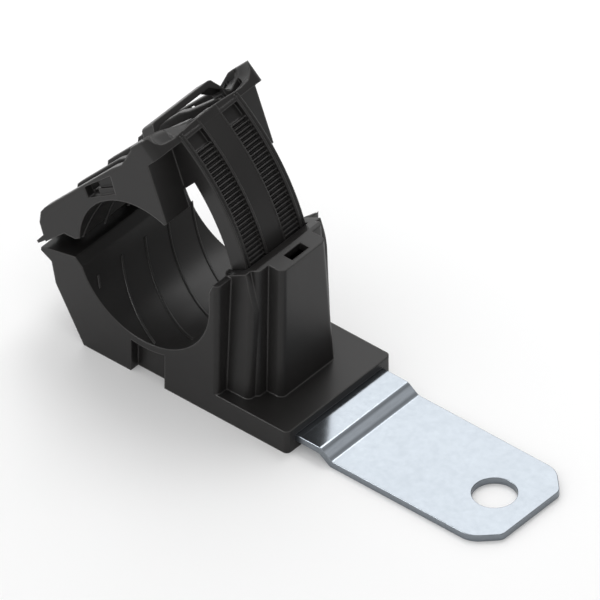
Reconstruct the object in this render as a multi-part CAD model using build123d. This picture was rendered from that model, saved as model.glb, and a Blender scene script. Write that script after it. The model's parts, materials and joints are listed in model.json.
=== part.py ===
from build123d import *
import math
import os

# Ratchet p-clamp: a moulded cradle with a ratchet column, a hinged jaw that carries
# the toothed strap, and a cranked steel plate that bolts the clamp down.
# Millimetres, +Z up. The origin is the centre of the plate's hole on its underside.
# The plate points along +X and the bundle runs along Y.

# Steel plate
PLATE_T = 1.5
PLATE_HALF_W = 12.4
PLATE_END_X = 8.75
HOLE_D = 8.5
CORNER_CHAMFER = 4.3
CORNER_ROUND_OUT = 5.0
CORNER_ROUND_END = 2.0
JOGGLE_RISE = 1.8
JOGGLE_LOW_X = -28.4
JOGGLE_HIGH_X = -31.0
JOGGLE_ROUND = 1.2
TONGUE_END_X = -49.5

# Bore of the cradle, and the hinge that carries the jaw
CRADLE_X = -71.4
CRADLE_Z = 24.3
CRADLE_R = 15.7
HINGE_REACH = 23.8
HINGE_X = CRADLE_X - HINGE_REACH
HINGE_Z = 18.3
PIN_R = 1.5
PIN_CLEARANCE = 0.06
HOOK_WALL = 1.3
HOOK_HALF_W = 6.4
HOOK_OPEN_FROM_DEG = 95
HOOK_OPEN_TO_DEG = 190
ARM_GAP = 0.35
ARM_HALF_W = 9.2
ARM_R = 2.3
SWING_GAP = 0.3

# Base: cradle
BASE_HALF_W = 14.7
BASE_LEFT_X = HINGE_X + 9.7
BASE_RIGHT_X = -37.0
FLANGE_T = 5.0
CRADLE_WALL = 2.0
SHOULDER_X = HINGE_X + 3.0
SHOULDER_Z = 11.2
LIP_ROOT_X = HINGE_X + 2.0
LIP_ROOT_Z = 15.8
LIP_TIP_X = HINGE_X - 0.5
LIP_TIP_Z = 17.1
LIP_TIP_T = 0.7
LIP_TOP_X = HINGE_X + 1.6
LIP_TOP_Z = 18.5
SEAT_X = HINGE_X + 7.6
SEAT_Z = 19.8
SEAT_BEVEL_X = HINGE_X + 9.74
SEAT_BEVEL_Z = 17.9
WALL_TOP_Z = 30.5
WALL_BEVEL = 0.8
WALL_RIGHT_X = CRADLE_X + CRADLE_R + CRADLE_WALL
WALL_CORNER_R = 1.1
FLANGE_CORNER_R = 1.0
NOTCH_LEFT_X = CRADLE_X - 2.9
NOTCH_RIGHT_X = CRADLE_X + 5.1
NOTCH_DEPTH = 2.1
NOTCH_RIM = 1.5

# Toothed strap, about the hinge
STRAP_T = 3.9
STRAP_HALF_W = 8.4
STRAP_GAP = 0.35
CHANNEL_WALL = 1.55
STRAP_TIP_DEG = -36.6
STRAP_ROOT_W = 3.4
BAND_INNER_Y = 2.7
BAND_OUTER_Y = 7.1
BAND_DEPTH = 1.2
BAND_TOP_DEG = 3.4
TOOTH_H = 0.85
TOOTH_PITCH_DEG = 1.2
TOOTH_FIRST_DEG = -0.2

STRAP_R_OUT = CRADLE_X + CRADLE_R - HINGE_X + CHANNEL_WALL + STRAP_GAP + STRAP_T
STRAP_R_IN = STRAP_R_OUT - STRAP_T
BAND_FLOOR_R = STRAP_R_OUT - BAND_DEPTH
TOOTH_TIP_R = BAND_FLOOR_R + TOOTH_H
CHANNEL_R_IN = STRAP_R_IN - STRAP_GAP
CHANNEL_R_OUT = STRAP_R_OUT + STRAP_GAP
CHANNEL_HALF_W = STRAP_HALF_W + STRAP_GAP

# Base: ratchet column
CHEEK_HALF_W_FOOT = 12.3
CHEEK_HALF_W_TOP = 10.6
CHEEK_WALL = 1.5
CHEEK_CORNER_R = 1.2
RIB_HALF_W_FOOT = 10.5
RIB_HALF_W_TOP = 9.2
RIB_CORNER_R = 0.9
TOWER_HALF_W_FOOT = 8.0
TOWER_HALF_W_TOP = 6.2
TOWER_CORNER_R = 1.2
COLUMN_TOP_Z = 33.5
CHEEK_BACK_X = HINGE_X + STRAP_R_OUT + CHEEK_WALL
RIB_BACK_X_FOOT = CHEEK_BACK_X + 0.8
RIB_BACK_X_TOP = CHEEK_BACK_X - 0.2
TOWER_BACK_X_FOOT = CHEEK_BACK_X + 4.4
TOWER_BACK_X_TOP = CHEEK_BACK_X + 3.2
COLUMN_SLOPE_X = CHEEK_BACK_X - 1.1

# Pawl inside the column
PAWL_HALF_W = 5.5
PAWL_T = 1.4
PAWL_GAP = 0.25
PAWL_SIDE_GAP = 0.4
PAWL_ROOT_DEG = -9.0
PAWL_TIP_DEG = 12.0
PAWL_TEETH = 4
POCKET_BACK_WALL = 1.3
POCKET_TOP_WALL = 1.6
RELEASE_HALF_W = 2.4
RELEASE_X_LOW = CHEEK_BACK_X + 0.1
RELEASE_X_HIGH = CHEEK_BACK_X + 2.2

# Jaw, drawn closed in its own frame: U from the hinge towards the column, W up
OPEN_DEG = 48.6
JAW_HALF_W = 15.2
JAW_WALL = 1.8
JAW_ARC_U = 21.25
JAW_ARC_W = -13.0
JAW_ARC_R = 14.7
JAW_SHELL = 2.2
JAW_END_WALL = 2.0
JAW_TOP_W = 6.0
JAW_FLOOR_W = 4.4
JAW_FLOOR_END_U = 11.3
JAW_BACK_U = STRAP_R_IN + 0.2
JAW_BACK_W = 2.9
FANG_TIP_U = JAW_BACK_U - 5.7
FANG_TIP_W = -8.1
FANG_INNER_Y = 8.6
WEB_LOW_W = -4.8
WALL_DIP_U = 35.0
WALL_DIP_W = 5.5
CORNER_TOP_W = 7.3
TOP_RIB_T = 1.4
TOP_RIB_PITCH = 8.6
TOP_RIB_END_U = 30.0
TOP_RIB_END_W = 5.5
TAB_U = 0.1
TAB_T = 0.55

# Nose of the jaw's side walls at the hinge, and the necks of its two arms
NOSE_LOW = [(2.2, 0.55), (8.3, 0.1), (10.1, -1.8)]
NOSE_TOP = [(6.2, 5.7), (4.1, 4.2), (3.0, 2.3)]
NOSE_TOP_U = 8.0
ARC_LIP_U = 10.0
ARC_LIP_W = 10.9
ARM_NECK = [(4.1, 4.0), (5.0, 0.6), (0.4, 0.1)]

# Rounded band across the jaw's end; its rim dips to the middle
BAND_END_U = STRAP_R_OUT - 0.2
BAND_CORNER_R = 1.6
BAND_START_U = BAND_END_U - 5.0
BAND_HOLLOW_R = 3.0
BAND_FLOOR_T = 0.9
RIM_HEIGHTS = [(0.0, 4.75), (4.7, 5.3), (9.2, 6.7), (JAW_HALF_W, CORNER_TOP_W)]

# Window and shallow pocket in each side wall of the jaw
WINDOW = [(20.8, 3.4), (21.6, 5.4), (24.8, 5.3), (23.9, 2.7)]
POCKET = [(20.8, 3.4), (21.8, 5.5), (30.2, 4.8), (28.3, 1.5)]
LEDGE = [(22.5, 4.4), (28.9, 2.5), (28.3, 1.5), (20.8, 3.4)]
POCKET_DEPTH = 1.1
LEDGE_DEPTH = 0.5

# Loop over the strap's root
LOOP_U_LOW = 36.8
LOOP_U_HIGH = 40.6
LOOP_TOP_W = 8.55
LOOP_T = 1.2
LOOP_HALF_W = 7.9
LOOP_FOOT_HALF_W = 10.4
LOOP_FOOT_W = 6.6
LOOP_ROUND = 1.4

FAR = 200.0


def slab(points, y_low, y_high):
    """A prism of the closed XZ outline, from y_low to y_high."""
    face = make_face(Polyline(*points, close=True))
    return Pos(0, y_high, 0) * extrude(Plane.XZ * face, amount=y_high - y_low)


def bar_y(x, z, radius, half_width):
    """A round bar along Y."""
    return Pos(x, 0, z) * Rot(90, 0, 0) * Cylinder(radius, 2 * half_width)


def ring_y(x, z, r_in, r_out, half_width):
    """A ring about an axis along Y."""
    return bar_y(x, z, r_out, half_width) - bar_y(x, z, r_in, half_width + 1)


def polar(x, z, radius, degrees):
    """The point of XZ at a radius and an angle about x, z."""
    turn = math.radians(degrees)
    return (x + radius * math.cos(turn), z + radius * math.sin(turn))


def wedge(x, z, from_deg, to_deg, half_width, reach=FAR):
    """A sector under half a turn about x, z."""
    middle = (from_deg + to_deg) / 2
    points = [(x, z)] + [polar(x, z, reach, turn) for turn in (from_deg, middle, to_deg)]
    return slab(points, -half_width, half_width)


def sector(x, z, r_in, r_out, from_deg, to_deg, half_width):
    """A part of a ring between two angles."""
    return ring_y(x, z, r_in, r_out, half_width) & wedge(x, z, from_deg, to_deg, half_width + 1)


def box(x_low, x_high, y_low, y_high, z_low, z_high):
    """A box between two corners."""
    size = (x_high - x_low, y_high - y_low, z_high - z_low)
    centre = ((x_low + x_high) / 2, (y_low + y_high) / 2, (z_low + z_high) / 2)
    return Pos(*centre) * Box(*size)


def frustum(x_low, foot, top, z_low, z_high, corner_r):
    """A tapered block with rounded upright corners; foot and top are each a back x and a half width."""
    faces = []
    for (x_back, half_w), z in ((foot, z_low), (top, z_high)):
        outline = RectangleRounded(x_back - x_low, 2 * half_w, corner_r)
        faces.append(Pos((x_low + x_back) / 2, 0, z) * outline)
    return loft(faces)


def make_plate():
    """The cranked steel plate with its bolt hole."""
    rise = JOGGLE_RISE
    lower = [(PLATE_END_X, 0), (PLATE_END_X, PLATE_T)]
    upper = [
        (JOGGLE_LOW_X, PLATE_T),
        (JOGGLE_HIGH_X, PLATE_T + rise),
        (TONGUE_END_X, PLATE_T + rise),
    ]
    under = [(TONGUE_END_X, rise), (JOGGLE_HIGH_X - PLATE_T / 3, rise), (JOGGLE_LOW_X - PLATE_T / 3, 0)]
    plate = slab(lower + upper + under, -PLATE_HALF_W, PLATE_HALF_W)
    bends = plate.edges().filter_by(Axis.Y).filter_by_position(
        Axis.X, JOGGLE_HIGH_X - PLATE_T, JOGGLE_LOW_X + PLATE_T
    )
    plate = fillet(bends, JOGGLE_ROUND)
    ends = plate.edges().filter_by(Axis.Z).filter_by_position(Axis.X, PLATE_END_X - 0.1, PLATE_END_X + 0.1)
    plate = chamfer(ends, CORNER_CHAMFER)
    corners = plate.edges().filter_by(Axis.Z)
    on_end = corners.filter_by_position(Axis.X, PLATE_END_X - 0.1, PLATE_END_X + 0.1)
    on_side = corners.filter_by_position(
        Axis.X, PLATE_END_X - CORNER_CHAMFER - 0.1, PLATE_END_X - CORNER_CHAMFER + 0.1
    )
    plate = fillet(on_side, CORNER_ROUND_OUT)
    on_end = plate.edges().filter_by(Axis.Z).filter_by_position(
        Axis.X, PLATE_END_X - 0.1, PLATE_END_X + 0.1
    )
    plate = fillet(on_end, CORNER_ROUND_END)
    return plate - Cylinder(HOLE_D / 2, 4 * PLATE_T)


def cradle_body():
    """The full-width outline of the cradle, its right wall and the flange."""
    outline = [
        (BASE_LEFT_X, 0),
        (SHOULDER_X, SHOULDER_Z),
        (LIP_ROOT_X, LIP_ROOT_Z),
        (LIP_TIP_X, LIP_TIP_Z),
        (LIP_TIP_X, LIP_TIP_Z + LIP_TIP_T),
        (LIP_TOP_X, LIP_TOP_Z),
        (SEAT_X, SEAT_Z),
        (SEAT_BEVEL_X, SEAT_BEVEL_Z),
        (CRADLE_X + CRADLE_R, CRADLE_Z),
        (CRADLE_X + CRADLE_R, WALL_TOP_Z - 2.5 * WALL_BEVEL),
        (CRADLE_X + CRADLE_R + WALL_BEVEL, WALL_TOP_Z),
        (WALL_RIGHT_X, WALL_TOP_Z),
        (WALL_RIGHT_X, FLANGE_T),
        (BASE_RIGHT_X, FLANGE_T),
        (BASE_RIGHT_X, 0),
    ]
    body = slab(outline, -BASE_HALF_W, BASE_HALF_W)
    uprights = body.edges().filter_by(Axis.Z)
    body = fillet(uprights.group_by(Axis.X)[-1], FLANGE_CORNER_R)
    uprights = body.edges().filter_by(Axis.Z).filter_by_position(
        Axis.X, WALL_RIGHT_X - 0.1, WALL_RIGHT_X + 0.1
    )
    body = fillet(uprights, WALL_CORNER_R)
    body -= bar_y(CRADLE_X, CRADLE_Z, CRADLE_R, BASE_HALF_W + 1)
    for side in (-1, 1):
        y_face = side * BASE_HALF_W
        y_floor = side * (BASE_HALF_W - NOTCH_DEPTH)
        recess = box(NOTCH_LEFT_X, NOTCH_RIGHT_X, min(y_face, y_floor) - 0.01, max(y_face, y_floor) + 0.01,
                     -1, CRADLE_Z)
        recess -= bar_y(CRADLE_X, CRADLE_Z, CRADLE_R + NOTCH_RIM, BASE_HALF_W + 1)
        body -= recess
    return body


def column_body():
    """The stepped column behind the cradle, solid."""
    foot_x = CRADLE_X + CRADLE_R
    cheeks = frustum(
        foot_x,
        (CHEEK_BACK_X, CHEEK_HALF_W_FOOT),
        (CHEEK_BACK_X, CHEEK_HALF_W_TOP),
        0,
        COLUMN_TOP_Z,
        CHEEK_CORNER_R,
    )
    above = box(foot_x, CHEEK_BACK_X + 1, -BASE_HALF_W, BASE_HALF_W, HINGE_Z, COLUMN_TOP_Z + 1)
    cheeks -= above - bar_y(HINGE_X, HINGE_Z, CHANNEL_R_OUT + CHEEK_WALL, BASE_HALF_W + 1)
    ribs = frustum(
        foot_x,
        (RIB_BACK_X_FOOT, RIB_HALF_W_FOOT),
        (RIB_BACK_X_TOP, RIB_HALF_W_TOP),
        0,
        COLUMN_TOP_Z,
        RIB_CORNER_R,
    )
    tower = frustum(
        foot_x,
        (TOWER_BACK_X_FOOT, TOWER_HALF_W_FOOT),
        (TOWER_BACK_X_TOP, TOWER_HALF_W_TOP),
        0,
        COLUMN_TOP_Z,
        TOWER_CORNER_R,
    )
    column = cheeks + ribs + tower
    crown = [
        (foot_x - 2, WALL_TOP_Z),
        (foot_x + WALL_BEVEL, WALL_TOP_Z),
        (COLUMN_SLOPE_X, COLUMN_TOP_Z),
        (COLUMN_SLOPE_X, COLUMN_TOP_Z + 2),
        (foot_x - 2, COLUMN_TOP_Z + 2),
    ]
    return column - slab(crown, -BASE_HALF_W, BASE_HALF_W)


def pawl():
    """The toothed spring arm that catches the strap, standing in the column."""
    r_face = CHANNEL_R_OUT + PAWL_GAP
    arm = sector(HINGE_X, HINGE_Z, r_face, r_face + PAWL_T, PAWL_ROOT_DEG - 2, PAWL_TIP_DEG, PAWL_HALF_W)
    r_tip = TOOTH_TIP_R + PAWL_GAP
    for number in range(PAWL_TEETH):
        turn = PAWL_TIP_DEG - (number + 1) * TOOTH_PITCH_DEG
        outline = [
            polar(HINGE_X, HINGE_Z, r_face + 0.1, turn),
            polar(HINGE_X, HINGE_Z, r_tip, turn),
            polar(HINGE_X, HINGE_Z, r_face + 0.1, turn + TOOTH_PITCH_DEG * 0.9),
        ]
        tooth_inner = BAND_INNER_Y + PAWL_GAP
        for y_low, y_high in ((-PAWL_HALF_W, -tooth_inner), (tooth_inner, PAWL_HALF_W)):
            arm += slab(outline, y_low, y_high)
    return arm


def make_base():
    """Cradle, flange, column, channel, pawl and hinge hook in one moulding."""
    base = cradle_body() + column_body()
    channel = ring_y(HINGE_X, HINGE_Z, CHANNEL_R_IN, CHANNEL_R_OUT, CHANNEL_HALF_W)
    channel &= box(CRADLE_X, FAR, -FAR, FAR, -1, COLUMN_TOP_Z + 5)
    base -= channel
    pocket_half_w = PAWL_HALF_W + PAWL_SIDE_GAP
    pocket_floor_z = HINGE_Z + CHANNEL_R_OUT * math.sin(math.radians(PAWL_ROOT_DEG))
    pocket = box(
        WALL_RIGHT_X,
        TOWER_BACK_X_TOP - POCKET_BACK_WALL,
        -pocket_half_w,
        pocket_half_w,
        pocket_floor_z,
        COLUMN_TOP_Z - POCKET_TOP_WALL,
    )
    pocket -= bar_y(HINGE_X, HINGE_Z, CHANNEL_R_OUT - 0.1, FAR)
    base -= pocket
    base -= box(RELEASE_X_LOW, RELEASE_X_HIGH, -RELEASE_HALF_W, RELEASE_HALF_W,
                COLUMN_TOP_Z - 4, COLUMN_TOP_Z + 1)
    base += pawl()
    base -= box(TONGUE_END_X, BASE_RIGHT_X + 1, -PLATE_HALF_W, PLATE_HALF_W,
                JOGGLE_RISE, JOGGLE_RISE + PLATE_T)
    hook_r_in = PIN_R + PIN_CLEARANCE
    hook_r_out = hook_r_in + HOOK_WALL
    base -= bar_y(HINGE_X, HINGE_Z, ARM_R + SWING_GAP, ARM_HALF_W + ARM_GAP)
    arm_room = ARM_HALF_W + ARM_GAP
    base -= box(LIP_TIP_X - 1, HINGE_X, -arm_room, arm_room, LIP_ROOT_Z, LIP_TOP_Z + 1)
    hook = ring_y(HINGE_X, HINGE_Z, hook_r_in, hook_r_out, HOOK_HALF_W)
    hook -= wedge(HINGE_X, HINGE_Z, HOOK_OPEN_FROM_DEG, HOOK_OPEN_TO_DEG, FAR)
    return base + hook


def jaw_outline():
    """The side outline of the jaw's side walls, closed, without its arc and its end band."""
    return NOSE_LOW + [
        (JAW_ARC_U - ARC_LIP_U, JAW_ARC_W + ARC_LIP_W),
        (JAW_ARC_U, JAW_ARC_W),
        (FANG_TIP_U - 0.8, FANG_TIP_W),
        (FANG_TIP_U, FANG_TIP_W),
        (JAW_BACK_U, JAW_BACK_W),
        (BAND_START_U + 0.5, JAW_BACK_W),
        (BAND_START_U + 0.5, CORNER_TOP_W - 0.1),
        (WALL_DIP_U + 1.4, JAW_TOP_W - 0.1),
        (WALL_DIP_U, WALL_DIP_W),
        (WALL_DIP_U - 3.3, JAW_TOP_W - 0.15),
        (NOSE_TOP_U, JAW_TOP_W),
    ] + NOSE_TOP


def end_band():
    """The rounded band across the jaw's end, hollow behind, with a rim that dips to the middle."""
    inner_half_w = JAW_HALF_W - JAW_WALL
    band = box(BAND_START_U, BAND_END_U, -JAW_HALF_W, JAW_HALF_W, JAW_BACK_W, CORNER_TOP_W + 1)
    band = fillet(band.edges().filter_by(Axis.Z).group_by(Axis.X)[-1], BAND_CORNER_R)
    hollow = box(BAND_START_U - 1, BAND_END_U - JAW_WALL, -inner_half_w, inner_half_w,
                 JAW_BACK_W + BAND_FLOOR_T, CORNER_TOP_W + 2)
    hollow = fillet(hollow.edges().filter_by(Axis.Z).group_by(Axis.X)[-1], BAND_HOLLOW_R)
    band -= hollow
    rim = [(-y, w) for y, w in reversed(RIM_HEIGHTS)] + RIM_HEIGHTS[1:]
    curve = Spline(*rim)
    top = Polyline((JAW_HALF_W, CORNER_TOP_W), (JAW_HALF_W, 2 * CORNER_TOP_W),
                   (-JAW_HALF_W, 2 * CORNER_TOP_W), (-JAW_HALF_W, CORNER_TOP_W))
    above = make_face([curve, top])
    dip = Pos(BAND_START_U - 1, 0, 0) * extrude(Plane.YZ * above, amount=BAND_END_U - BAND_START_U + 2)
    return band - dip


def end_loop():
    """The loop that bridges the strap's root, on two feet that flare to the side walls."""
    reach = JAW_HALF_W - JAW_WALL / 2
    foot_w = JAW_BACK_W + BAND_FLOOR_T / 2
    outer = make_face(Polyline(
        (-reach, foot_w), (-reach, LOOP_FOOT_W), (-LOOP_FOOT_HALF_W, LOOP_FOOT_W),
        (-LOOP_HALF_W, LOOP_TOP_W), (LOOP_HALF_W, LOOP_TOP_W),
        (LOOP_FOOT_HALF_W, LOOP_FOOT_W), (reach, LOOP_FOOT_W), (reach, foot_w),
        close=True,
    ))
    bends = outer.vertices().filter_by_position(Axis.X, -LOOP_FOOT_HALF_W - 0.1, LOOP_FOOT_HALF_W + 0.1)
    outer = fillet(bends, LOOP_ROUND)
    hole_top_w = LOOP_TOP_W - LOOP_T
    hole_foot = LOOP_FOOT_HALF_W - LOOP_T
    hole_top = LOOP_HALF_W - 0.8 * LOOP_T
    hole = make_face(Polyline(
        (-hole_foot, foot_w - 1), (-hole_foot, LOOP_FOOT_W - 0.8 * LOOP_T), (-hole_top, hole_top_w),
        (hole_top, hole_top_w), (hole_foot, LOOP_FOOT_W - 0.8 * LOOP_T), (hole_foot, foot_w - 1),
        close=True,
    ))
    arch = extrude(Plane.YZ * (outer - hole), amount=LOOP_U_HIGH - LOOP_U_LOW)
    return Pos(LOOP_U_LOW, 0, 0) * arch


def toothed_strap():
    """The curved strap with a middle rail, two side rails and two rows of ratchet teeth."""
    root_deg = math.degrees(math.asin(STRAP_ROOT_W / STRAP_R_OUT))
    strap = sector(0, 0, STRAP_R_IN, STRAP_R_OUT, STRAP_TIP_DEG, root_deg, STRAP_HALF_W)
    for y_low, y_high in ((-BAND_OUTER_Y, -BAND_INNER_Y), (BAND_INNER_Y, BAND_OUTER_Y)):
        row = ring_y(0, 0, BAND_FLOOR_R, STRAP_R_OUT + 1, FAR) & box(0, FAR, y_low, y_high, -FAR, FAR)
        strap -= row & wedge(0, 0, STRAP_TIP_DEG - 5, BAND_TOP_DEG, FAR)
        turn = TOOTH_FIRST_DEG
        while turn - TOOTH_PITCH_DEG > STRAP_TIP_DEG:
            tooth = [
                polar(0, 0, BAND_FLOOR_R - 0.2, turn),
                polar(0, 0, BAND_FLOOR_R, turn),
                polar(0, 0, TOOTH_TIP_R, turn - 0.3 * TOOTH_PITCH_DEG),
                polar(0, 0, BAND_FLOOR_R, turn - TOOTH_PITCH_DEG),
                polar(0, 0, BAND_FLOOR_R - 0.2, turn - TOOTH_PITCH_DEG),
            ]
            strap += slab(tooth, y_low, y_high)
            turn -= TOOTH_PITCH_DEG
    return strap


def make_jaw():
    """The jaw, its hinge pin, the end band, the loop and the toothed strap in one moulding."""
    jaw = slab(jaw_outline(), -JAW_HALF_W, JAW_HALF_W)
    jaw -= bar_y(JAW_ARC_U, JAW_ARC_W, JAW_ARC_R, JAW_HALF_W + 1)

    inner = JAW_HALF_W - JAW_WALL
    back_u = JAW_BACK_U - JAW_END_WALL
    trough = slab(
        [
            (JAW_FLOOR_END_U, JAW_ARC_W + JAW_ARC_R),
            (JAW_FLOOR_END_U, 2 * CORNER_TOP_W),
            (BAND_END_U, 2 * CORNER_TOP_W),
            (BAND_END_U, JAW_BACK_W + BAND_FLOOR_T),
            (back_u, JAW_BACK_W + BAND_FLOOR_T),
            (back_u, JAW_BACK_W),
            (FANG_TIP_U - JAW_END_WALL, FANG_TIP_W),
        ],
        -inner,
        inner,
    )
    trough -= bar_y(JAW_ARC_U, JAW_ARC_W, JAW_ARC_R + JAW_SHELL, JAW_HALF_W)
    jaw -= trough
    jaw -= box(-1, JAW_FLOOR_END_U + 0.1, -inner, inner, JAW_FLOOR_W, 2 * CORNER_TOP_W)
    for number in (-1, 0, 1):
        y_mid = number * TOP_RIB_PITCH
        rib = slab(
            [
                (JAW_FLOOR_END_U, 0),
                (JAW_FLOOR_END_U, JAW_TOP_W - 0.8),
                (JAW_FLOOR_END_U + 1.2, JAW_TOP_W + 0.1),
                (TOP_RIB_END_U - 3, JAW_TOP_W + 0.1),
                (TOP_RIB_END_U, TOP_RIB_END_W),
                (back_u, TOP_RIB_END_W - 0.7),
                (back_u + 1, JAW_BACK_W),
                (back_u - 2, -4),
            ],
            y_mid - TOP_RIB_T / 2,
            y_mid + TOP_RIB_T / 2,
        )
        rib -= bar_y(JAW_ARC_U, JAW_ARC_W, JAW_ARC_R + 0.5, JAW_HALF_W)
        jaw += rib

    jaw -= box(JAW_ARC_U, back_u - 0.6, -FANG_INNER_Y, FANG_INNER_Y, FANG_TIP_W - 1, WEB_LOW_W)
    for side in (-1, 1):
        face = side * JAW_HALF_W
        for outline, depth in ((WINDOW, JAW_WALL + 0.2), (POCKET, POCKET_DEPTH)):
            floor = side * (JAW_HALF_W - depth)
            cut = slab(outline, min(face, floor) - 0.01, max(face, floor) + 0.01)
            if outline is POCKET:
                ledge_floor = side * (JAW_HALF_W - LEDGE_DEPTH)
                cut -= slab(LEDGE, min(ledge_floor, floor) - 0.02, max(ledge_floor, floor) + 0.02)
            jaw -= cut
    jaw += end_band()
    jaw += end_loop()
    jaw += toothed_strap()

    web = [
        (back_u - 1.7, WEB_LOW_W),
        (STRAP_R_IN - 0.2, WEB_LOW_W),
        (STRAP_R_IN + 0.5, JAW_BACK_W + 0.2),
        (back_u, JAW_BACK_W + 0.2),
    ]
    jaw += slab(web, -STRAP_HALF_W, STRAP_HALF_W)
    rail_top = [
        (STRAP_R_IN + 1, JAW_BACK_W),
        (STRAP_R_OUT - 0.05, JAW_BACK_W),
        (STRAP_R_OUT - 0.05, RIM_HEIGHTS[0][1]),
        (STRAP_R_IN + 1, RIM_HEIGHTS[0][1]),
    ]
    jaw += slab(rail_top, -BAND_INNER_Y, BAND_INNER_Y)

    arm_outer = ARM_HALF_W
    arm_inner = HOOK_HALF_W + ARM_GAP
    jaw -= ring_y(0, 0, 0.5, PIN_R + PIN_CLEARANCE + HOOK_WALL + SWING_GAP, arm_inner)
    jaw += bar_y(0, 0, PIN_R, arm_outer)
    for side in (-1, 1):
        y_low = min(side * arm_inner, side * arm_outer)
        y_high = max(side * arm_inner, side * arm_outer)
        disc = bar_y(0, 0, ARM_R, FAR) & box(-FAR, FAR, y_low, y_high, -FAR, FAR)
        jaw += disc + slab([(0, ARM_R)] + ARM_NECK, y_low, y_high)
        tab_low = min(side * (arm_outer + 0.6), side * JAW_HALF_W)
        tab_high = max(side * (arm_outer + 0.6), side * JAW_HALF_W)
        jaw += slab(
            [(TAB_U, 1.0), (TAB_U, 1.0 + TAB_T), (3.2, 1.3 + TAB_T), (3.2, 0.7)], tab_low, tab_high
        )
    return Pos(HINGE_X, 0, HINGE_Z) * Rot(0, -OPEN_DEG, 0) * jaw


def save(shape, node):
    """Writes one node's STEP file."""
    shape.label = node
    export_step(shape, os.path.join("parts", node + ".step"))
    print(node, "solids", len(shape.solids()), "volume", round(shape.volume, 1))


os.makedirs("parts", exist_ok=True)
save(make_plate(), "mounting_plate")
save(make_base(), "clamp_base")
save(make_jaw(), "ratchet_jaw")
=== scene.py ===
import json
import math

import bpy
from mathutils import Matrix, Vector


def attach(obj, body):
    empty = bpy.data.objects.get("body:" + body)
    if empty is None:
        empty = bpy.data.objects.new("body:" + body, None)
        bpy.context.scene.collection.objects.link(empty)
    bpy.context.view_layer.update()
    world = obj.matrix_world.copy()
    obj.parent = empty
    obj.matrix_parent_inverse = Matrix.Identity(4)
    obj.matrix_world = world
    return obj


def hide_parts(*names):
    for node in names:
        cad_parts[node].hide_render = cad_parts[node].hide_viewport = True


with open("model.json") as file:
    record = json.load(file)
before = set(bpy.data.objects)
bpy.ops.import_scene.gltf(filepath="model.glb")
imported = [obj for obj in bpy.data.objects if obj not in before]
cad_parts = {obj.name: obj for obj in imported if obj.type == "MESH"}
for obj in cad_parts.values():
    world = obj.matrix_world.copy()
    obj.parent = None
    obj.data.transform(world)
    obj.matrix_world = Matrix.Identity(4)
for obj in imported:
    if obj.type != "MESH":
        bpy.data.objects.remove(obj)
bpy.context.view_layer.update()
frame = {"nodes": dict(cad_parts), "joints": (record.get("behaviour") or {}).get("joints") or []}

bl_info = {
    "name": "Ratchet P-Clamp",
    "version": (1, 0, 0),
    "blender": (4, 5, 0),
    "location": "View3D > Sidebar > Clamp",
    "description": "Dresses a ratchet p-clamp with a zinc plated steel plate",
    "category": "Object",
}

HINGE = Vector(frame["joints"][0]["pos_m"])

MM = 0.001
MAIN = bpy.context.scene
UP = Vector((0, 0, 1))
WHITE = (1.0, 1.0, 1.0, 1.0)
NYLON = "black nylon"
ZINC = "zinc plated steel"

# Lengths are in millimetres and angles in degrees, unless a line says otherwise.

# How meshes are merged, compared, smoothed and rounded
MERGE = 0.002
TOLERANCE = 0.01
SMOOTH_DEG = 20
FLAT_DEG = 0.6
EDGE_LEAST_DEG = 20
EDGE_SEGMENTS = 3
EDGE_SMOOTH_DEG = 34
FLAT_WEIGHT = 100

# The jaw's own frame: u away from the hinge, w upwards from it, y as in the part
JAW_OPEN_DEG = 48.6
JAW_ARC_U = 21.25
JAW_ARC_W = -13.0
JAW_ARC_R = 14.7

# The fine edges beside the strap's teeth
STRAP_R = 45.3
STRAP_TOP_DEG = 5.0
STRAP_LOW_DEG = -36.0
STRAP_EDGES_Y = (-8.15, -7.35, -2.45, 2.45, 7.35, 8.15)
STRAP_EDGE_SINK = 0.02

# The grip ribs, whose slopes are millimetres along y for each degree round the bore
RIB_SIDES = 10
RIB_STEP_DEG = 3
RIB_LEAST_STEPS = 4
RIB_SMOOTH_DEG = 50
RIB_NEAR_Y = -14.2
CRADLE_AXIS = (-71.4, 0, 24.3)
CRADLE_R = 15.7
CRADLE_RIB_SLOPE = -0.137
CRADLE_RIB_ZERO_DEG = -138
CRADLE_RIBS = (
    (-13.0, -146, -138), (-6.3, -147, -62), (0.3, -147, -55), (6.8, -147, -40), (13.6, -147, -30))
JAW_RIB_SLOPE = -0.15
JAW_RIB_SPAN_DEG = (136, 50)
JAW_RIB_COUNT = 5
JAW_RIB_FIRST_Y = -14.6
JAW_RIB_PITCH = 6.6
JAW_RIB_FAR_Y = 14.0

# The end band's rim: its height w at each distance y from the middle
RIM_HEIGHTS = (
    (0.0, 4.75), (4.7, 4.6), (9.4, 4.2), (12.3, 4.6), (13.6, 5.7), (14.2, 7.2), (15.3, 7.3))
RIM_LOW_W = 4.15
BAND_FRONT_U = 45.1
NEAR_RIM_DEPTH = 0.9
FAR_RIM_DEPTH = 2.2

# The feet of the band's loop
LOOP_FOOT_U = (36.7, 40.7)
LOOP_FOOT_Y = (9.9, 14.4)
LOOP_FOOT_W = (6.5, 6.95)
LOOP_FOOT_DROP = 1.9
LOOP_END_Y = 12.0
LOOP_END_DROP = 0.85

# The dish before the far horn, and the gusset behind it as corners in u and w
FAR_DISH_U = (39.9, 42.9)
FAR_DISH_Y = 11.5
FAR_DISH_TOP_W = 6.9
FAR_DISH_LEVEL_U = 41.0
FAR_DISH_W = 5.95
FAR_WEB = ((34.0, 5.85), (38.5, 7.3), (40.15, 4.8))
FAR_WEB_Y = (13.9, 15.15)

# The chamfer on the column's far top corner
FAR_CORNER_X = -53.5
FAR_CORNER_Y = 14.2
FAR_CORNER_Z = 30.3
FAR_CORNER_DROP = 1.3

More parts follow.
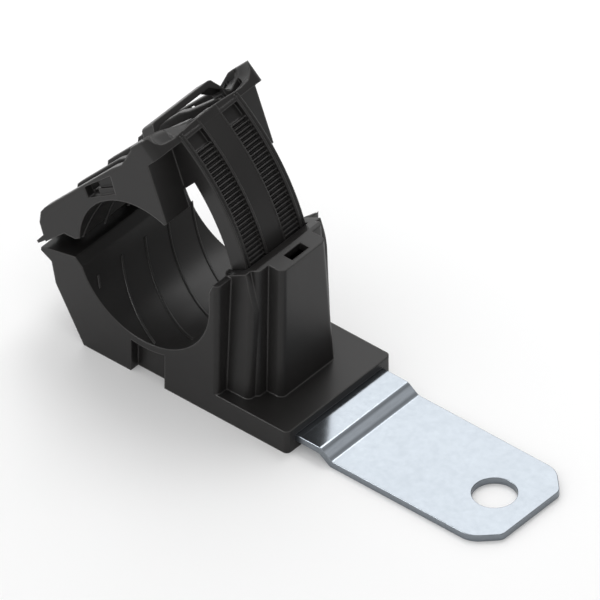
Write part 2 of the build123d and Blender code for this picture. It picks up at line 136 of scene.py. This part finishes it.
# Noises as scale, detail and roughness, and how they are stretched along the axes
PLAIN = (1.0, 1.0, 1.0)
NYLON_GRAIN = (5200.0, 2.0, 0.6)
NYLON_CLOUD = (140.0, 3.0, 0.5)
NYLON_FLOW = (3.0, 2.0, 0.5)
NYLON_FLOW_STRETCH = (60.0, 260.0, 60.0)
ZINC_CLOUD = (90.0, 4.0, 0.6)
ZINC_FINE = (900.0, 3.0, 0.6)
ZINC_SCUFFS = (6.0, 3.0, 0.6)
ZINC_SCUFF_STRETCH = (400.0, 60.0, 400.0)
ZINC_PATCHES = {"Scale": 420.0, "Smoothness": 0.9}

# How strongly each noise shows in colour and in sheen, and the bumps it makes
NYLON_CLOUD_TONE = 0.6
NYLON_FLOW_TONE = 0.4
NYLON_CLOUD_SHEEN = 0.08
NYLON_GRAIN_SHEEN = 0.04
NYLON_BUMP = {"Strength": 0.12, "Distance": 0.02 * MM}
ZINC_CLOUD_TONE = 0.25
ZINC_FINE_TONE = 0.6
ZINC_PATCH_TONE = 0.25
ZINC_CONTRAST = 2.0
ZINC_CLOUD_SHEEN = 0.08
ZINC_FINE_SHEEN = 0.06
ZINC_BUMP = {"Strength": 0.15, "Distance": 0.01 * MM}

# Painted highlight on the nylon's edges, where the rounded normal leaves the true one, by these
# cosines
BEVEL_SAMPLES = 8
HIGHLIGHT_COSINES = (0.99, 0.86)

# Painted light and shade by how level a face is. The tones are shares of the dark one.
SIDEWAYS_SHARE = 0.8
FLAT_LEVELS = (0.80, 0.97)
CUT_LEVELS = (0.25, 0.7)
CUT_DULLNESS = 0.15
# Painted shade on the cut rims
CUT_SHADE_TONES = (0.58, 0.76)
# A painted lighter tone on the crank's slope
SLOPE_LIGHT_TONES = (1.35, 1.75)
# Painted shade in bands over the crank's bends
BEND_SHADE_TONES = (0.7, 1.0)
CRANK_MIDDLE_X = -29.7
CRANK_HALF_L = 1.3
BEND_STARTS = (0.25, 0.65)

# The stage: lengths in metres, and each lamp's direction from the clamp with its size
FLOOR_SIZE = 6.0
FLOOR_Z = -0.02 * MM
FLOOR_TONE = 0.925
SKY_WAY = (0.64, 0.77, 0.0)
SKY_FALL = 0.3
LAMP_AIM = Vector((-45, 0, 20)) * MM
LAMP_DISTANCE = 0.55
LAMPS = {
    "softbox": ((-0.49, 0.587, 0.643), 0.55),
    "overhead": ((-0.20, 0.38, 0.90), 0.22),
    "key": ((-0.49, -0.64, 0.586), 0.25),
}
CAMERA_DISTANCE = 0.6
CAMERA_REACH = 10.0


# Small helpers


def rest():
    """Nothing selected, in object mode."""
    if bpy.context.object is not None and bpy.context.object.mode != "OBJECT":
        bpy.ops.object.mode_set(mode="OBJECT")
    bpy.ops.object.select_all(action="DESELECT")


def take(piece):
    """Only this piece selected and active."""
    rest()
    piece.select_set(True)
    bpy.context.view_layer.objects.active = piece


def apply_all(piece):
    """Applies every modifier in order."""
    take(piece)
    for modifier in list(piece.modifiers):
        bpy.ops.object.modifier_apply(modifier=modifier.name)


def settle(piece, name):
    """Puts the piece's place into its mesh and names it."""
    take(piece)
    bpy.ops.object.transform_apply(location=True, rotation=True, scale=True)
    piece.name = name
    piece.data.name = name
    return piece


def own_copy(node, name):
    """A merged copy of a CAD node, smooth where its faces meet at a small angle."""
    mesh = frame["nodes"][node].data.copy()
    mesh.materials.clear()
    piece = bpy.data.objects.new(name, mesh)
    MAIN.collection.objects.link(piece)
    take(piece)
    bpy.ops.object.mode_set(mode="EDIT")
    bpy.ops.mesh.select_all(action="SELECT")
    bpy.ops.mesh.remove_doubles(threshold=MERGE * MM)
    bpy.ops.mesh.customdata_custom_splitnormals_clear()
    bpy.ops.object.mode_set(mode="OBJECT")
    bpy.ops.object.shade_smooth_by_angle(angle=math.radians(SMOOTH_DEG))
    return piece


def soften(piece, width):
    """Makes flat faces whole again and rounds every edge between them."""
    take(piece)
    bpy.ops.object.mode_set(mode="EDIT")
    bpy.ops.mesh.select_all(action="SELECT")
    bpy.ops.mesh.dissolve_limited(angle_limit=math.radians(FLAT_DEG))
    bpy.ops.object.mode_set(mode="OBJECT")
    bevel = piece.modifiers.new("Rounded edges", "BEVEL")
    bevel.limit_method = "ANGLE"
    bevel.angle_limit = math.radians(EDGE_LEAST_DEG)
    bevel.width = width
    bevel.segments = EDGE_SEGMENTS
    bevel.use_clamp_overlap = False
    bevel.miter_outer = "MITER_SHARP"
    apply_all(piece)
    bpy.ops.object.shade_smooth_by_angle(angle=math.radians(EDGE_SMOOTH_DEG))
    weigh = piece.modifiers.new("Flat faces", "WEIGHTED_NORMAL")
    weigh.keep_sharp = True
    weigh.weight = FLAT_WEIGHT
    apply_all(piece)


def helical_rib(name, axis_at, radius, from_deg, to_deg, y_start, rise, half_w, height, turn=0.0):
    """A slim rounded rib that runs obliquely round an axis along Y, with lengths in metres."""
    rest()
    bpy.ops.mesh.primitive_circle_add(vertices=RIB_SIDES, radius=1.0, fill_type="NOTHING")
    rib = bpy.context.object
    bpy.ops.object.mode_set(mode="EDIT")
    bpy.ops.transform.resize(value=(height, half_w, 1.0))
    bpy.ops.transform.translate(value=(radius, y_start, 0.0))
    bpy.ops.object.mode_set(mode="OBJECT")
    screw = rib.modifiers.new("Helix", "SCREW")
    screw.axis = "Y"
    screw.angle = -math.radians(to_deg - from_deg)
    screw.screw_offset = rise
    screw.steps = max(RIB_LEAST_STEPS, int(abs(to_deg - from_deg) / RIB_STEP_DEG))
    screw.render_steps = screw.steps
    screw.use_merge_vertices = False
    apply_all(rib)
    bpy.ops.object.mode_set(mode="EDIT")
    bpy.ops.mesh.select_all(action="DESELECT")
    bpy.ops.mesh.select_non_manifold()
    bpy.ops.mesh.fill_holes(sides=0)
    bpy.ops.mesh.select_all(action="SELECT")
    bpy.ops.mesh.normals_make_consistent(inside=False)
    bpy.ops.object.mode_set(mode="OBJECT")
    bpy.ops.object.shade_smooth_by_angle(angle=math.radians(RIB_SMOOTH_DEG))
    rib.matrix_world = (
        Matrix.Translation(axis_at)
        @ Matrix.Rotation(-math.radians(turn + from_deg), 4, "Y")
    )
    return settle(rib, name)


def joined(pieces, name):
    """The pieces as one object."""
    rest()
    for piece in pieces:
        piece.select_set(True)
    bpy.context.view_layer.objects.active = pieces[0]
    bpy.ops.object.join()
    return settle(pieces[0], name)


def jaw_axes():
    """The jaw's own two directions across the hinge: away from it, and upwards."""
    turn = math.radians(JAW_OPEN_DEG)
    along = Vector((math.cos(turn), 0, math.sin(turn)))
    upward = Vector((-math.sin(turn), 0, math.cos(turn)))
    return along, upward


def nudge(piece, way, amount):
    """Moves vertices along a direction, each by the millimetres that amount gives for its place."""
    take(piece)
    bpy.ops.object.mode_set(mode="EDIT")
    bpy.ops.mesh.select_all(action="DESELECT")
    bpy.ops.object.mode_set(mode="OBJECT")
    moves = {}
    for vert in piece.data.vertices:
        moved = round(amount(vert.co / MM), 2)
        if moved:
            moves.setdefault(moved, []).append(vert.index)
    for moved, indices in moves.items():
        for index in indices:
            piece.data.vertices[index].select = True
        bpy.ops.object.mode_set(mode="EDIT")
        bpy.ops.mesh.select_mode(type="VERT")
        bpy.ops.transform.translate(value=way * moved * MM)
        bpy.ops.mesh.select_all(action="DESELECT")
        bpy.ops.object.mode_set(mode="OBJECT")


def between(value, span):
    return span[0] < value < span[1]


def rim_height(y):
    """The height of the band's rim at a distance from the middle."""
    for (y_low, w_low), (y_high, w_high) in zip(RIM_HEIGHTS, RIM_HEIGHTS[1:]):
        if y <= y_high:
            return w_low + (w_high - w_low) * (y - y_low) / (y_high - y_low)
    return RIM_HEIGHTS[-1][1]


def rim_drop(place):
    """How far a point of the jaw moves to shape the band's rim, its far dish and the loop."""
    along, upward = jaw_axes()
    reach = place - HINGE / MM
    u, w, y = reach.dot(along), reach.dot(upward), abs(place.y)
    if between(u, LOOP_FOOT_U) and between(y, LOOP_FOOT_Y) and between(w, LOOP_FOOT_W):
        return -LOOP_FOOT_DROP if y < LOOP_END_Y else -LOOP_END_DROP
    height = rim_height(y)
    if place.y > FAR_DISH_Y and between(u, FAR_DISH_U) and w > FAR_DISH_TOP_W:
        least = FAR_DISH_W if u < FAR_DISH_LEVEL_U else 0.0
        return min(0.0, max(height, least) - w)
    depth = NEAR_RIM_DEPTH if place.y < 0 else FAR_RIM_DEPTH
    if u < BAND_FRONT_U - depth or w < RIM_LOW_W:
        return 0.0
    return min(0.0, height - w)


def corner_drop(place):
    """How far a point of the base moves to chamfer the column's far top corner."""
    in_corner = place.x < FAR_CORNER_X and place.y > FAR_CORNER_Y and place.z > FAR_CORNER_Z
    return -FAR_CORNER_DROP if in_corner else 0.0


def wall_web(name):
    """The gusset that runs from the far horn down the jaw's side wall."""
    (u_low, w_low), (u_bend, w_high), (u_high, w_foot) = FAR_WEB
    y_low, y_high = FAR_WEB_Y
    size = Vector((u_high - u_low, y_high - y_low, w_high - w_foot)) * MM
    middle = Vector(((u_low + u_high) / 2, (y_low + y_high) / 2, (w_foot + w_high) / 2)) * MM
    rest()
    bpy.ops.mesh.primitive_cube_add(size=1.0)
    web = bpy.context.object
    bpy.ops.object.mode_set(mode="EDIT")
    bpy.ops.transform.resize(value=size)
    bpy.ops.transform.translate(value=middle)
    bpy.ops.mesh.bisect(plane_co=(u_bend * MM, 0, 0), plane_no=(1, 0, 0))
    bpy.ops.object.mode_set(mode="OBJECT")

    def lower_end(place):
        at_end = place.x < u_low + TOLERANCE and place.z > w_high - TOLERANCE
        return w_low - w_high if at_end else 0.0

    nudge(web, UP, lower_end)
    web.matrix_world = (
        Matrix.Translation(HINGE)
        @ Matrix.Rotation(-math.radians(JAW_OPEN_DEG), 4, "Y")
    )
    return settle(web, name)


# Shader expressions


class Wire:
    """A socket that takes part in Python expressions."""

    def __init__(self, tree, socket):
        self.tree = tree
        self.socket = socket

    def math(self, operation, *values):
        return self.tree.node("ShaderNodeMath", {"operation": operation}, dict(enumerate(values)))

    def __add__(self, other):
        return self.math("ADD", self, other)

    def __radd__(self, other):
        return self.math("ADD", other, self)

    def __sub__(self, other):
        return self.math("SUBTRACT", self, other)

    def __rsub__(self, other):
        return self.math("SUBTRACT", other, self)

    def __mul__(self, other):
        return self.math("MULTIPLY", self, other)

    def __rmul__(self, other):
        return self.math("MULTIPLY", other, self)

    def __truediv__(self, other):
        return self.math("DIVIDE", self, other)

    def __rtruediv__(self, other):
        return self.math("DIVIDE", other, self)

    def absolute(self):
        return self.math("ABSOLUTE", self)

    def clamped(self):
        return self.math("MINIMUM", self.math("MAXIMUM", self, 0.0), 1.0)


class Tree:
    """A node tree whose nodes are all made by one method."""

    def __init__(self, owner):
        owner.use_nodes = True
        self.nodes = owner.node_tree.nodes
        self.links = owner.node_tree.links
        self.nodes.clear()

    def node(self, kind, settings=None, sockets=None, out=0):
        made = self.nodes.new(kind)
        for name, value in (settings or {}).items():
            setattr(made, name, value)
        for name, value in (sockets or {}).items():
            if isinstance(value, Wire):
                self.links.new(value.socket, made.inputs[name])
            else:
                made.inputs[name].default_value = value
        return Wire(self, made.outputs[out]) if made.outputs else None

    def place(self, stretch=PLAIN):
        """Object coordinates, stretched along the axes."""
        where = self.node("ShaderNodeTexCoord", out="Object")
        return self.node("ShaderNodeMapping", {}, {"Vector": where, "Scale": stretch})

    def noise(self, place, scale, detail, rough):
        return self.node("ShaderNodeTexNoise", {}, {
            "Vector": place, "Scale": scale, "Detail": detail, "Roughness": rough,
        })

    def blend(self, factor, first, second):
        """A colour between two colours."""
        return self.node(
            "ShaderNodeMix", {"data_type": "RGBA"}, {0: factor, 6: first, 7: second}, out=2)

    def shaded(self, factor, colour, shares):
        """A colour between two shares of one colour."""
        first, second = (opaque([share * value for value in colour]) for share in shares)
        return self.blend(factor, first, second)

    def ease(self, value, ends, most=1.0):
        """A smooth step that is nothing at the first end and the most at the second."""
        return self.node("ShaderNodeMapRange", {"interpolation_type": "SMOOTHSTEP"}, {
            "Value": value, "From Min": ends[0], "From Max": ends[1], "To Max": most,
        })

    def dot(self, first, second):
        return self.node("ShaderNodeVectorMath", {"operation": "DOT_PRODUCT"}, {
            0: first, 1: second,
        }, out="Value")

    def part(self, vector, axis):
        return self.node("ShaderNodeSeparateXYZ", {}, {0: vector}, out=axis)

    def finish(self, shader, kind="ShaderNodeOutputMaterial"):
        self.node(kind, {}, {"Surface": shader})


def opaque(colour):
    return (colour[0], colour[1], colour[2], 1.0)


def nylon_material(looks):
    """Satin black nylon with a fine moulded grain and a painted highlight on its edges."""
    tree = Tree(bpy.data.materials.new(NYLON))
    place = tree.place()
    grain = tree.noise(place, *NYLON_GRAIN)
    cloud = tree.noise(place, *NYLON_CLOUD)
    flow = tree.noise(tree.place(NYLON_FLOW_STRETCH), *NYLON_FLOW)
    tone = (cloud * NYLON_CLOUD_TONE + flow * NYLON_FLOW_TONE).clamped()
    moulded = tree.blend(tone, opaque(looks.nylon_dark), opaque(looks.nylon_light))
    edges = tree.node(
        "ShaderNodeBevel", {"samples": BEVEL_SAMPLES}, {"Radius": looks.nylon_edge})
    true_face = tree.node("ShaderNodeNewGeometry", out="True Normal")
    # Painted highlight: a lighter base colour on convex and concave edges
    painted_edge_highlight = tree.ease(tree.dot(edges, true_face), HIGHLIGHT_COSINES, looks.nylon_highlight_share)
    rough = (looks.nylon_roughness + (cloud - 0.5) * NYLON_CLOUD_SHEEN
             + (grain - 0.5) * NYLON_GRAIN_SHEEN)
    bump = tree.node("ShaderNodeBump", {}, {**NYLON_BUMP, "Height": grain, "Normal": edges})
    tree.finish(tree.node("ShaderNodeBsdfPrincipled", {}, {
        "Base Color": tree.blend(painted_edge_highlight, moulded, opaque(looks.nylon_highlight_tone)),
        "Roughness": rough,
        "Specular IOR Level": looks.nylon_gloss,
        "Normal": bump,
    }))


def zinc_material(looks):
    """Mottled blue-white zinc plating, with painted bands of light and shade over the crank and
    painted shade on the duller cut rims.
    """
    tree = Tree(bpy.data.materials.new(ZINC))
    place = tree.place()
    patches = tree.node(
        "ShaderNodeTexVoronoi", {"feature": "SMOOTH_F1"}, {**ZINC_PATCHES, "Vector": place})
    cloud = tree.noise(place, *ZINC_CLOUD)
    fine = tree.noise(place, *ZINC_FINE)
    mottle = cloud * ZINC_CLOUD_TONE + fine * ZINC_FINE_TONE + patches * ZINC_PATCH_TONE
    tone = ((mottle - 0.5) * ZINC_CONTRAST + 0.5).clamped()
    plated = tree.blend(tone, opaque(looks.zinc_dark), opaque(looks.zinc_light))

    facing = tree.node("ShaderNodeTexCoord", out="Normal")
    level = (tree.part(facing, "Z").absolute()
             - tree.part(facing, "Y").absolute() * SIDEWAYS_SHARE)
    flat = tree.ease(level, FLAT_LEVELS)
    cut = tree.ease(level, CUT_LEVELS)
    crank = ((tree.part(place, "X") - CRANK_MIDDLE_X * MM) / (CRANK_HALF_L * MM)).absolute()
    scuffs = tree.noise(tree.place(ZINC_SCUFF_STRETCH), *ZINC_SCUFFS)
    # Painted lighter tone for the crank's slope, painted shade for its bends and for the cut rims
    slope = tree.shaded(scuffs, looks.zinc_dark, SLOPE_LIGHT_TONES)
    bend = tree.shaded(scuffs, looks.zinc_dark, BEND_SHADE_TONES)
    bent = tree.blend(tree.ease(crank, BEND_STARTS), slope, bend)
    rim_shade = tree.shaded(scuffs, looks.zinc_dark, CUT_SHADE_TONES)

    rough = (looks.zinc_roughness + (cloud - 0.5) * ZINC_CLOUD_SHEEN
             + (fine - 0.5) * ZINC_FINE_SHEEN + (1.0 - cut) * CUT_DULLNESS)
    tree.finish(tree.node("ShaderNodeBsdfPrincipled", {}, {
        "Base Color": tree.blend(cut, rim_shade, tree.blend(flat, bent, plated)),
        "Metallic": 1.0,
        "Roughness": rough,
        "Normal": tree.node("ShaderNodeBump", {}, {**ZINC_BUMP, "Height": fine}),
    }))


def floor_material(share_lit):
    """Matt pale floor that also glows a little to the camera, to mirrors and through glass."""
    material = bpy.data.materials.new("white floor")
    tree = Tree(material)
    matt = tree.node("ShaderNodeBsdfDiffuse", {}, {"Color": opaque([FLOOR_TONE] * 3)})
    glow = tree.node("ShaderNodeEmission", {}, {"Color": WHITE, "Strength": 1.0})
    camera, glossy, transmitted = (
        tree.node("ShaderNodeLightPath", out=f"Is {ray} Ray")
        for ray in ("Camera", "Glossy", "Transmission"))
    share = (camera + glossy + transmitted).clamped() * share_lit
    tree.finish(tree.node("ShaderNodeMixShader", {}, {0: share, 1: matt, 2: glow}))
    return material


def studio_world(strength):
    """A sky that falls off to one side, and that the camera sees as plain white."""
    world = bpy.data.worlds.new("studio")
    tree = Tree(world)
    way = tree.node("ShaderNodeTexCoord", out="Generated")
    fading = strength - SKY_FALL * (tree.dot(way, SKY_WAY) + 1.0)
    sky = tree.node("ShaderNodeBackground", {}, {"Color": WHITE, "Strength": fading})
    plain = tree.node("ShaderNodeBackground", {}, {"Color": WHITE, "Strength": 1.0})
    camera_ray = tree.node("ShaderNodeLightPath", out="Is Camera Ray")
    mixed = tree.node("ShaderNodeMixShader", {}, {0: camera_ray, 1: sky, 2: plain})
    tree.finish(mixed, "ShaderNodeOutputWorld")
    return world


def soft_lamp(name, way, size, radiance):
    """A square lamp that faces the clamp from the given direction."""
    bpy.ops.object.light_add(type="AREA")
    lamp = bpy.context.object
    lamp.name = name
    lamp.data.shape = "SQUARE"
    lamp.data.size = size
    lamp.data.energy = radiance * math.pi * size ** 2
    from_lamp = Vector(way).normalized()
    lamp.matrix_world = (
        Matrix.Translation(LAMP_AIM + from_lamp * LAMP_DISTANCE)
        @ from_lamp.to_track_quat("Z", "Y").to_matrix().to_4x4()
    )
    return lamp


def parallel_camera(stage):
    """A camera with a parallel view, centred from the bolt hole across the picture and up it."""
    cos_a, sin_a = math.cos(stage.azimuth), math.sin(stage.azimuth)
    cos_e, sin_e = math.cos(stage.elevation), math.sin(stage.elevation)
    right = Vector((cos_a, sin_a, 0))
    towards = Vector((sin_a * cos_e, -cos_a * cos_e, sin_e))
    upwards = towards.cross(right)
    place = right * stage.across + upwards * stage.up + towards * CAMERA_DISTANCE
    bpy.ops.object.camera_add(location=place)
    camera = bpy.context.object
    camera.name = "camera"
    turned = Matrix((right, upwards, towards)).transposed().to_4x4()
    camera.matrix_world = Matrix.Translation(place) @ turned
    camera.data.type = "ORTHO"
    camera.data.ortho_scale = stage.width
    camera.data.clip_end = CAMERA_REACH
    return camera


# Settings


class ClampSizes(bpy.types.PropertyGroup):
    """Edge and rib sizes."""

    rib_half_width: bpy.props.FloatProperty(
        name="Rib half width", description="Half the width of the grip ribs",
        default=0.3 * MM, min=0.0, unit="LENGTH")
    rib_height: bpy.props.FloatProperty(
        name="Rib height", description="How far the grip ribs stand out of the bore",
        default=0.22 * MM, min=0.0, unit="LENGTH")
    strap_edge_half_width: bpy.props.FloatProperty(
        name="Strap edge half width", description="Half the width of the strap's fine edges",
        default=0.2 * MM, min=0.0, unit="LENGTH")
    strap_edge_height: bpy.props.FloatProperty(
        name="Strap edge height", description="How far the fine edges stand out of the strap",
        default=0.14 * MM, min=0.0, unit="LENGTH")
    plate_edge: bpy.props.FloatProperty(
        name="Plate edges", description="Rounding of the punched plate's rims",
        default=0.14 * MM, min=0.0, unit="LENGTH")


class ClampLooks(bpy.types.PropertyGroup):
    """Colours and gloss."""

    nylon_dark: bpy.props.FloatVectorProperty(
        name="Nylon, dark", description="Darker tone of the black nylon", subtype="COLOR",
        default=(0.0125, 0.0118, 0.0116))
    nylon_light: bpy.props.FloatVectorProperty(
        name="Nylon, light", description="Lighter tone of the black nylon", subtype="COLOR",
        default=(0.0195, 0.0185, 0.0180))
    nylon_roughness: bpy.props.FloatProperty(
        name="Nylon roughness", description="How matt the nylon is",
        default=0.37, min=0.0, max=1.0)
    nylon_gloss: bpy.props.FloatProperty(
        name="Nylon gloss", description="Strength of the nylon's reflection",
        default=0.26, min=0.0, max=1.0)
    nylon_edge: bpy.props.FloatProperty(
        name="Nylon edges", description="How wide the moulded edges look rounded",
        default=0.5 * MM, min=0.0, unit="LENGTH")
    # The painted highlight's tone on the nylon's edges, and how far the edges take it
    nylon_highlight_tone: bpy.props.FloatVectorProperty(
        name="Nylon, rubbed", description="Tone of the nylon's highlighted edges", subtype="COLOR",
        default=(0.085, 0.082, 0.080))
    nylon_highlight_share: bpy.props.FloatProperty(
        name="Nylon highlight", description="How far the edges take the highlighted tone",
        default=0.5, min=0.0, max=1.0)
    zinc_dark: bpy.props.FloatVectorProperty(
        name="Zinc, dark", description="Darker tone of the plating", subtype="COLOR",
        default=(0.335, 0.367, 0.403))
    zinc_light: bpy.props.FloatVectorProperty(
        name="Zinc, light", description="Lighter tone of the plating", subtype="COLOR",
        default=(0.395, 0.431, 0.470))
    zinc_roughness: bpy.props.FloatProperty(
        name="Zinc roughness", description="How matt the plating is",
        default=0.14, min=0.0, max=1.0)


class ClampStage(bpy.types.PropertyGroup):
    """Camera and light."""

    azimuth: bpy.props.FloatProperty(
        name="Azimuth", description="The camera's angle round the clamp, from its front",
        default=math.radians(40), unit="ROTATION")
    elevation: bpy.props.FloatProperty(
        name="Elevation", description="The camera's angle above the floor",
        default=math.radians(40), unit="ROTATION")
    width: bpy.props.FloatProperty(
        name="View width", description="Width of the parallel view",
        default=109.49 * MM, unit="LENGTH")
    across: bpy.props.FloatProperty(
        name="Across", description="View centre from the bolt hole, to the right",
        default=-35.50 * MM, unit="LENGTH")
    up: bpy.props.FloatProperty(
        name="Up", description="View centre from the bolt hole, upwards",
        default=36.30 * MM, unit="LENGTH")
    sky: bpy.props.FloatProperty(
        name="Sky", description="Strength of the white sky on its brighter side",
        default=1.05, min=0.0)
    softbox: bpy.props.FloatProperty(
        name="Softbox", description="Radiance of the large soft lamp behind",
        default=1.2, min=0.0)
    overhead: bpy.props.FloatProperty(
        name="Overhead", description="Radiance of the lamp above",
        default=4.5, min=0.0)
    key: bpy.props.FloatProperty(
        name="Key", description="Radiance of the small lamp at the front left",
        default=11.0, min=0.0)
    floor_white: bpy.props.FloatProperty(
        name="Floor white", description="Share of the floor that ignores shadows",
        default=0.12, min=0.0, max=1.0)


# Operators


class CLAMP_OT_stage(bpy.types.Operator):
    """Pale floor, white sky, three soft lamps and the camera"""

    bl_idname = "clamp.stage"
    bl_label = "Stage"

    def execute(self, context):
        stage = MAIN.clamp_stage
        rest()
        bpy.ops.mesh.primitive_plane_add(size=FLOOR_SIZE, location=(0, 0, FLOOR_Z))
        floor = settle(context.object, "floor")
        floor.data.materials.append(floor_material(stage.floor_white))
        MAIN.world = studio_world(stage.sky)
        for name, (way, size) in LAMPS.items():
            lamp = soft_lamp(name, way, size, getattr(stage, name))
            lamp.visible_diffuse = name != "key"
        MAIN.camera = parallel_camera(stage)
        MAIN.view_settings.view_transform = "Standard"
        return {"FINISHED"}


class CLAMP_OT_plate(bpy.types.Operator):
    """The cranked steel plate with rounded rims"""

    bl_idname = "clamp.plate"
    bl_label = "Steel plate"

    def execute(self, context):
        plate = own_copy("mounting_plate", "steel_plate")
        soften(plate, MAIN.clamp_sizes.plate_edge)
        plate.data.materials.append(bpy.data.materials[ZINC])
        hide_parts("mounting_plate")
        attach(plate, "base")
        return {"FINISHED"}


class CLAMP_OT_base(bpy.types.Operator):
    """The cradle, flange and ratchet column, with the far top corner chamfered"""

    bl_idname = "clamp.base"
    bl_label = "Base moulding"

    def execute(self, context):
        base = own_copy("clamp_base", "base_moulding")
        nudge(base, UP, corner_drop)
        bpy.ops.object.shade_smooth_by_angle(angle=math.radians(SMOOTH_DEG))
        base.data.materials.append(bpy.data.materials[NYLON])
        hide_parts("clamp_base")
        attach(base, "base")
        return {"FINISHED"}


class CLAMP_OT_cradle_ribs(bpy.types.Operator):
    """The oblique grip ribs on the cradle's inside"""

    bl_idname = "clamp.cradle_ribs"
    bl_label = "Cradle ribs"

    def execute(self, context):
        sizes = MAIN.clamp_sizes
        slope = CRADLE_RIB_SLOPE * MM
        ribs = []
        for number, (y_at, from_deg, to_deg) in enumerate(CRADLE_RIBS):
            y_start = y_at * MM + slope * (from_deg - CRADLE_RIB_ZERO_DEG)
            while y_start + slope * (to_deg - from_deg) < RIB_NEAR_Y * MM:
                to_deg -= 1
            ribs.append(helical_rib(
                f"rib {number}", Vector(CRADLE_AXIS) * MM, CRADLE_R * MM, from_deg, to_deg,
                y_start, slope * (to_deg - from_deg), sizes.rib_half_width, sizes.rib_height))
        ribs = joined(ribs, "cradle_ribs")
        ribs.data.materials.append(bpy.data.materials[NYLON])
        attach(ribs, "base")
        return {"FINISHED"}


class CLAMP_OT_jaw(bpy.types.Operator):
    """The jaw with its strap, band and loop, the band lowered between its horns"""

    bl_idname = "clamp.jaw"
    bl_label = "Jaw moulding"

    def execute(self, context):
        jaw = own_copy("ratchet_jaw", "jaw_moulding")
        nudge(jaw, jaw_axes()[1], rim_drop)
        bpy.ops.object.shade_smooth_by_angle(angle=math.radians(SMOOTH_DEG))
        jaw.data.materials.append(bpy.data.materials[NYLON])
        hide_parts("ratchet_jaw")
        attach(jaw, "jaw")
        return {"FINISHED"}


class CLAMP_OT_jaw_ribs(bpy.types.Operator):
    """The oblique grip ribs on the jaw's inside"""

    bl_idname = "clamp.jaw_ribs"
    bl_label = "Jaw ribs"

    def execute(self, context):
        sizes = MAIN.clamp_sizes
        along, upward = jaw_axes()
        axis_at = HINGE + (along * JAW_ARC_U + upward * JAW_ARC_W) * MM
        slope = JAW_RIB_SLOPE * MM
        ribs = []
        for number in range(JAW_RIB_COUNT):
            from_deg, to_deg = JAW_RIB_SPAN_DEG
            y_start = (JAW_RIB_FIRST_Y + JAW_RIB_PITCH * number) * MM
            while y_start + slope * (to_deg - from_deg) > JAW_RIB_FAR_Y * MM:
                to_deg += 1
            while y_start < RIB_NEAR_Y * MM:
                from_deg -= 1
                y_start -= slope
            ribs.append(helical_rib(
                f"jaw rib {number}", axis_at, JAW_ARC_R * MM, from_deg, to_deg, y_start,
                slope * (to_deg - from_deg), sizes.rib_half_width, sizes.rib_height,
                JAW_OPEN_DEG))
        ribs = joined(ribs, "jaw_ribs")
        ribs.data.materials.append(bpy.data.materials[NYLON])
        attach(ribs, "jaw")
        return {"FINISHED"}


class CLAMP_OT_strap_edges(bpy.types.Operator):
    """The fine raised edges beside the rows of teeth on the strap"""

    bl_idname = "clamp.strap_edges"
    bl_label = "Strap edges"

    def execute(self, context):
        sizes = MAIN.clamp_sizes
        lines = [
            helical_rib(
                "strap edge", HINGE, (STRAP_R - STRAP_EDGE_SINK) * MM, STRAP_TOP_DEG,
                STRAP_LOW_DEG, y * MM, 0.0, sizes.strap_edge_half_width,
                sizes.strap_edge_height, JAW_OPEN_DEG)
            for y in STRAP_EDGES_Y
        ]
        lines = joined(lines, "strap_edges")
        lines.data.materials.append(bpy.data.materials[NYLON])
        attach(lines, "jaw")
        return {"FINISHED"}


class CLAMP_OT_horn_web(bpy.types.Operator):
    """The gusset behind the far horn of the end band"""

    bl_idname = "clamp.horn_web"
    bl_label = "Horn web"

    def execute(self, context):
        web = wall_web("horn_web")
        web.data.materials.append(bpy.data.materials[NYLON])
        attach(web, "jaw")
        return {"FINISHED"}


class CLAMP_PT_panel(bpy.types.Panel):
    """Lists the clamp's operators and settings"""

    bl_idname = "CLAMP_PT_panel"
    bl_label = "Ratchet clamp"
    bl_space_type = "VIEW_3D"
    bl_region_type = "UI"
    bl_category = "Clamp"

    def draw(self, context):
        for operator in OPERATORS:
            self.layout.operator(operator.bl_idname)
        scene = context.scene
        for group in (scene.clamp_sizes, scene.clamp_looks, scene.clamp_stage):
            box = self.layout.box()
            for name in group.__annotations__:
                box.prop(group, name)


GROUPS = {"clamp_sizes": ClampSizes, "clamp_looks": ClampLooks, "clamp_stage": ClampStage}
OPERATORS = (
    CLAMP_OT_stage, CLAMP_OT_plate, CLAMP_OT_base, CLAMP_OT_cradle_ribs, CLAMP_OT_jaw,
    CLAMP_OT_jaw_ribs, CLAMP_OT_strap_edges, CLAMP_OT_horn_web,
)


def register():
    for name, group in GROUPS.items():
        bpy.utils.register_class(group)
        setattr(bpy.types.Scene, name, bpy.props.PointerProperty(type=group))
    for operator in OPERATORS:
        bpy.utils.register_class(operator)
    bpy.utils.register_class(CLAMP_PT_panel)


def unregister():
    bpy.utils.unregister_class(CLAMP_PT_panel)
    for operator in reversed(OPERATORS):
        bpy.utils.unregister_class(operator)
    for name, group in GROUPS.items():
        delattr(bpy.types.Scene, name)
        bpy.utils.unregister_class(group)


def main():
    register()
    nylon_material(MAIN.clamp_looks)
    zinc_material(MAIN.clamp_looks)
    for operator in OPERATORS:
        group, name = operator.bl_idname.split(".")
        getattr(getattr(bpy.ops, group), name)()
    rest()


if __name__ == "__main__":
    main()
